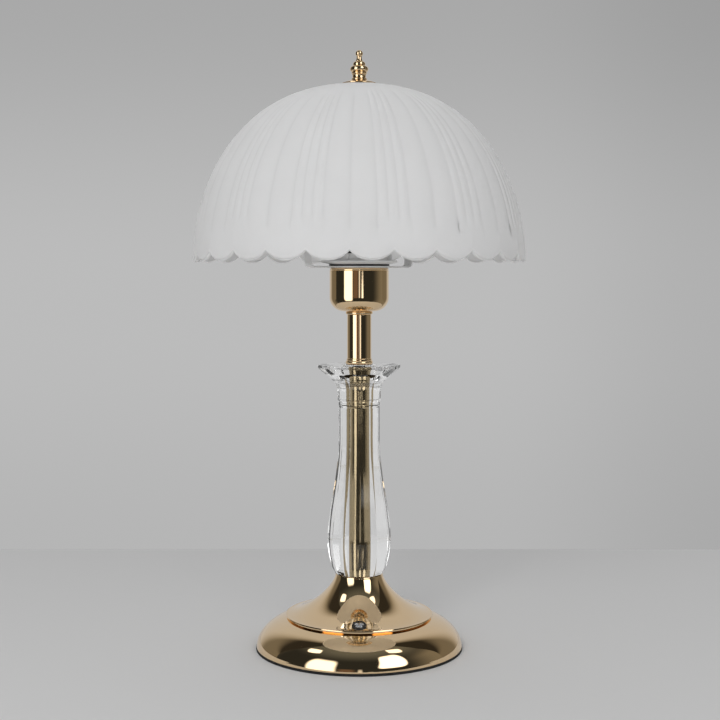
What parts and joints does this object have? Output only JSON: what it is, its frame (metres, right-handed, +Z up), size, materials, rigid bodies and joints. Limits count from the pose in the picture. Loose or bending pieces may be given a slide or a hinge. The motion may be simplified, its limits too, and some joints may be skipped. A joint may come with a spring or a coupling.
{
  "type": "mushroom table lamp",
  "caption": "Table lamp with a ribbed, scalloped frosted glass dome on a faceted crystal column, brass base and cup, and a push button in the base.",
  "frame": {"origin": "centre of the underside of the base pad, on the surface the lamp stands on", "axes": "+Z up along the lamp's axis, -Y towards the push button at the front, +X to the right seen from the front"},
  "size_m": [0.2486, 0.2486, 0.4494],
  "materials": {
    "foam_pad": "black foam pad, matte",
    "zinc_steel": "zinc plated steel",
    "cast_iron": "cast, black painted",
    "brass": "polished brass, lacquered",
    "black_plastic": "moulded black plastic",
    "chrome": "polished chrome",
    "tinned_brass": "nickel plated brass",
    "crystal": "clear cut crystal, polished facets",
    "clear_gasket": "clear silicone",
    "porcelain": "unglazed white porcelain",
    "white_plastic": "moulded white plastic",
    "lead_insulation": "cream wire insulation",
    "white_enamel": "white enamel on steel strip",
    "frosted_glass": "white frosted glass, satin",
    "bulb_insulator": "black vitrite",
    "bulb_aluminium": "rolled aluminium thread",
    "bulb_plastic": "white moulded plastic",
    "opal_plastic": "opal diffuser, satin"
  },
  "bodies": {
    "lamp_body": {"base_pad": "foam_pad", "bottom_cover": "zinc_steel", "cover_screws": "zinc_steel", "base_weight": "cast_iron", "base_shell": "brass", "cord_grommet": "black_plastic", "base_trumpet": "brass", "switch_bezel": "black_plastic", "switch_nut": "zinc_steel", "switch_body": "black_plastic", "switch_pins": "tinned_brass", "threaded_rod": "zinc_steel", "bottom_washer": "zinc_steel", "bottom_nut": "zinc_steel", "cup_washer": "zinc_steel", "cup_nut": "zinc_steel", "crystal_column": "crystal", "crystal_lower_washer": "clear_gasket", "crystal_upper_washer": "clear_gasket", "inner_sleeve": "brass", "lower_collar": "brass", "stem_tube": "brass", "upper_collar": "brass", "holder_cup": "brass", "holder_cap": "black_plastic", "holder_insulator": "porcelain", "holder_terminals": "tinned_brass", "screw_shell": "tinned_brass", "contact_tongue": "tinned_brass", "holder_skirt": "black_plastic", "shade_ring": "white_plastic", "socket_leads": "lead_insulation", "terminal_block": "white_plastic", "harp_bow": "white_enamel", "harp_stud": "zinc_steel", "stud_nut": "zinc_steel", "shade_seat": "white_enamel"},
    "button": {"button_cap": "chrome"},
    "shade": {"glass_shade": "frosted_glass", "lower_gasket": "clear_gasket", "upper_gasket": "clear_gasket"},
    "cap": {"finial_washer": "brass"},
    "finial": {"finial_knob": "brass"},
    "bulb": {"bulb_tip": "tinned_brass", "bulb_insulator": "bulb_insulator", "bulb_cap": "bulb_aluminium", "bulb_housing": "bulb_plastic", "bulb_globe": "opal_plastic"}
  },
  "joints": [
    {"name": "button_press", "type": "slide", "parent": "lamp_body", "child": "button", "axis": [0, 0.3637, -0.9315], "range_m": [0, 0.0012], "stiffness_N_per_m": 1200, "springref_m": -0.0006},
    {"name": "shade_lift", "type": "slide", "parent": "lamp_body", "child": "shade", "axis": [0, 0, 1], "range_m": [0, 0.156]},
    {"name": "cap_lift", "type": "slide", "parent": "lamp_body", "child": "cap", "axis": [0, 0, 1], "range_m": [0, 0.2028]},
    {"name": "finial_turn", "type": "hinge", "parent": "cap", "child": "finial", "pos_m": [0, 0, 0.43], "axis": [0, 0, 1], "continuous": true},
    {"name": "bulb_turn", "type": "hinge", "parent": "lamp_body", "child": "bulb", "pos_m": [0, 0, 0.3], "axis": [0, 0, 1], "continuous": true}
  ],
  "couplings": [
    {"joint": "cap_lift", "follows": "shade_lift", "ratio": 1.3}
  ]
}
